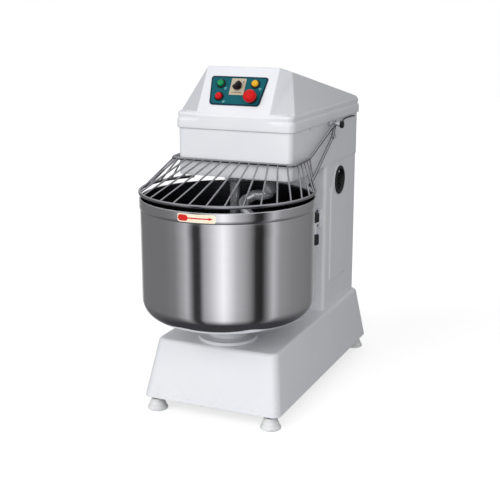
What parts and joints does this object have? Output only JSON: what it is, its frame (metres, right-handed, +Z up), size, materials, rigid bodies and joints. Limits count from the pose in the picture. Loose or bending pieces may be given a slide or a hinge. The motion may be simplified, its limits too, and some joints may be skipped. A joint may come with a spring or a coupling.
{
  "type": "commercial stand mixer",
  "caption": "Floor-standing spiral dough mixer: white stand, turning stainless bowl, spiral hook with breaker bar, lifting wire guard and a sloped control panel.",
  "frame": {"origin": "middle of the machine's bounding box on the floor it stands on", "axes": "+X to the right as the operator faces the control panel, +Y to the back, +Z up"},
  "size_m": [0.49, 0.9028, 0.958],
  "materials": {
    "white_paint": "white powder coat, satin",
    "stainless": "polished stainless steel with fine spun lines",
    "steel": "machined steel",
    "cast_iron": "cast iron, painted grey where not machined",
    "dark_chrome": "plated wire, dark bright finish",
    "black_plastic": "moulded black plastic",
    "white_plastic": "moulded white nylon",
    "rubber": "black rubber",
    "panel_plate": "teal printed panel film with a dark border",
    "legend_plate": "beige anodised legend plate",
    "label_film": "cream film label with a red arrow",
    "green_plastic": "moulded green plastic",
    "red_plastic": "moulded red plastic",
    "yellow_plastic": "moulded yellow plastic"
  },
  "bodies": {
    "stand": {"base_casing": "white_paint", "column_casing": "white_paint", "column_back_panel": "white_paint", "head_casing": "white_paint", "head_cover": "white_paint", "breaker_bar": "stainless", "breaker_bar_flange": "stainless", "base_plate": "steel", "head_mounting_plate": "steel", "electrical_box": "steel", "guide_roller_bracket_right": "steel", "guide_roller_bracket_left": "steel", "motor_bracket": "steel", "spiral_chain": "steel", "bowl_chain": "steel", "guard_pivot_right": "steel", "guard_pivot_left": "steel", "bowl_bearing_housing": "cast_iron", "spiral_bearing_housing": "cast_iron", "countershaft_bearing_housing": "cast_iron", "layshaft_upper_bearing": "cast_iron", "layshaft_lower_bearing": "cast_iron", "motor_body": "cast_iron", "vent_cap_right": "black_plastic", "vent_cap_left": "black_plastic", "cable_gland": "black_plastic", "guard_switch": "black_plastic", "guard_switch_cable": "black_plastic", "foot_front_right": "white_plastic", "foot_front_left": "white_plastic", "foot_rear_right": "white_plastic", "foot_rear_left": "white_plastic", "motor_belt": "rubber", "bowl_belt": "rubber", "control_plate": "panel_plate", "selector_legend": "legend_plate"},
    "bowl": {"bowl": "stainless", "rotation_label": "label_film", "bowl_shaft": "steel", "bowl_sprocket": "steel"},
    "spiral": {"spiral_hook": "stainless", "spiral_sprocket": "steel"},
    "countershaft": {"countershaft": "steel", "countershaft_sprocket": "steel", "countershaft_pulley": "cast_iron"},
    "layshaft": {"layshaft": "steel", "layshaft_pulley": "cast_iron", "layshaft_sprocket": "steel"},
    "motor_rotor": {"motor_shaft": "steel", "motor_pulley": "cast_iron"},
    "guide_roller_right": {"guide_roller_right": "rubber"},
    "guide_roller_left": {"guide_roller_left": "rubber"},
    "guard": {"guard_cage": "dark_chrome"},
    "start_button": {"start_button": "green_plastic"},
    "stop_button": {"stop_button": "red_plastic"},
    "jog_button": {"jog_button": "yellow_plastic"},
    "emergency_stop_stem": {"emergency_stop_plunger": "black_plastic"},
    "emergency_stop_cap": {"emergency_stop_head": "red_plastic"},
    "selector": {"selector_knob": "black_plastic"}
  },
  "joints": [
    {"name": "spiral_spin", "type": "hinge", "parent": "stand", "child": "spiral", "pos_m": [0.085, -0.1014, 0.65], "axis": [0, 0, -1], "continuous": true},
    {"name": "bowl_spin", "type": "hinge", "parent": "stand", "child": "bowl", "pos_m": [0, -0.2064, 0.28], "axis": [0, 0, -1], "continuous": true},
    {"name": "countershaft_spin", "type": "hinge", "parent": "stand", "child": "countershaft", "pos_m": [0, 0.0436, 0.75], "axis": [0, 0, -1], "continuous": true},
    {"name": "layshaft_spin", "type": "hinge", "parent": "stand", "child": "layshaft", "pos_m": [-0.05, 0.1936, 0.4], "axis": [0, 0, -1], "continuous": true},
    {"name": "motor_spin", "type": "hinge", "parent": "stand", "child": "motor_rotor", "pos_m": [0.07, 0.3036, 0.7], "axis": [0, 0, -1], "continuous": true},
    {"name": "guide_roller_right_spin", "type": "hinge", "parent": "stand", "child": "guide_roller_right", "pos_m": [0.17939, -0.01737, 0.5], "axis": [0, 0, -1], "continuous": true},
    {"name": "guide_roller_left_spin", "type": "hinge", "parent": "stand", "child": "guide_roller_left", "pos_m": [-0.17939, -0.01737, 0.5], "axis": [0, 0, -1], "continuous": true},
    {"name": "guard_lift", "type": "hinge", "parent": "stand", "child": "guard", "pos_m": [0, 0.1316, 0.783], "axis": [-1, 0, 0], "range_deg": [0, 80]},
    {"name": "start_press", "type": "slide", "parent": "stand", "child": "start_button", "axis": [0, 0.8512, -0.5249], "range_m": [0, 0.004], "stiffness_N_per_m": 600, "springref_m": -0.003},
    {"name": "stop_press", "type": "slide", "parent": "stand", "child": "stop_button", "axis": [0, 0.8512, -0.5249], "range_m": [0, 0.004], "stiffness_N_per_m": 600, "springref_m": -0.003},
    {"name": "jog_press", "type": "slide", "parent": "stand", "child": "jog_button", "axis": [0, 0.8512, -0.5249], "range_m": [0, 0.004], "stiffness_N_per_m": 600, "springref_m": -0.003},
    {"name": "emergency_stop_press", "type": "slide", "parent": "stand", "child": "emergency_stop_stem", "axis": [0, 0.8512, -0.5249], "range_m": [0, 0.006]},
    {"name": "emergency_stop_twist", "type": "hinge", "parent": "emergency_stop_stem", "child": "emergency_stop_cap", "pos_m": [0.048, -0.14904, 0.87588], "axis": [0, 0.8512, -0.5249], "range_deg": [0, 30], "stiffness_Nm_per_rad": 0.02},
    {"name": "selector_turn", "type": "hinge", "parent": "stand", "child": "selector", "pos_m": [0.001, -0.13172, 0.90397], "axis": [0, -0.8512, 0.5249], "range_deg": [0, 84]}
  ],
  "couplings": [
    {"joint": "countershaft_spin", "follows": "spiral_spin", "ratio": 1.9545},
    {"joint": "motor_spin", "follows": "spiral_spin", "ratio": 6.9805},
    {"joint": "layshaft_spin", "follows": "spiral_spin", "ratio": 0.53493},
    {"joint": "bowl_spin", "follows": "spiral_spin", "ratio": 0.1221},
    {"joint": "guide_roller_right_spin", "follows": "spiral_spin", "ratio": -1.4652},
    {"joint": "guide_roller_left_spin", "follows": "spiral_spin", "ratio": -1.4652}
  ]
}
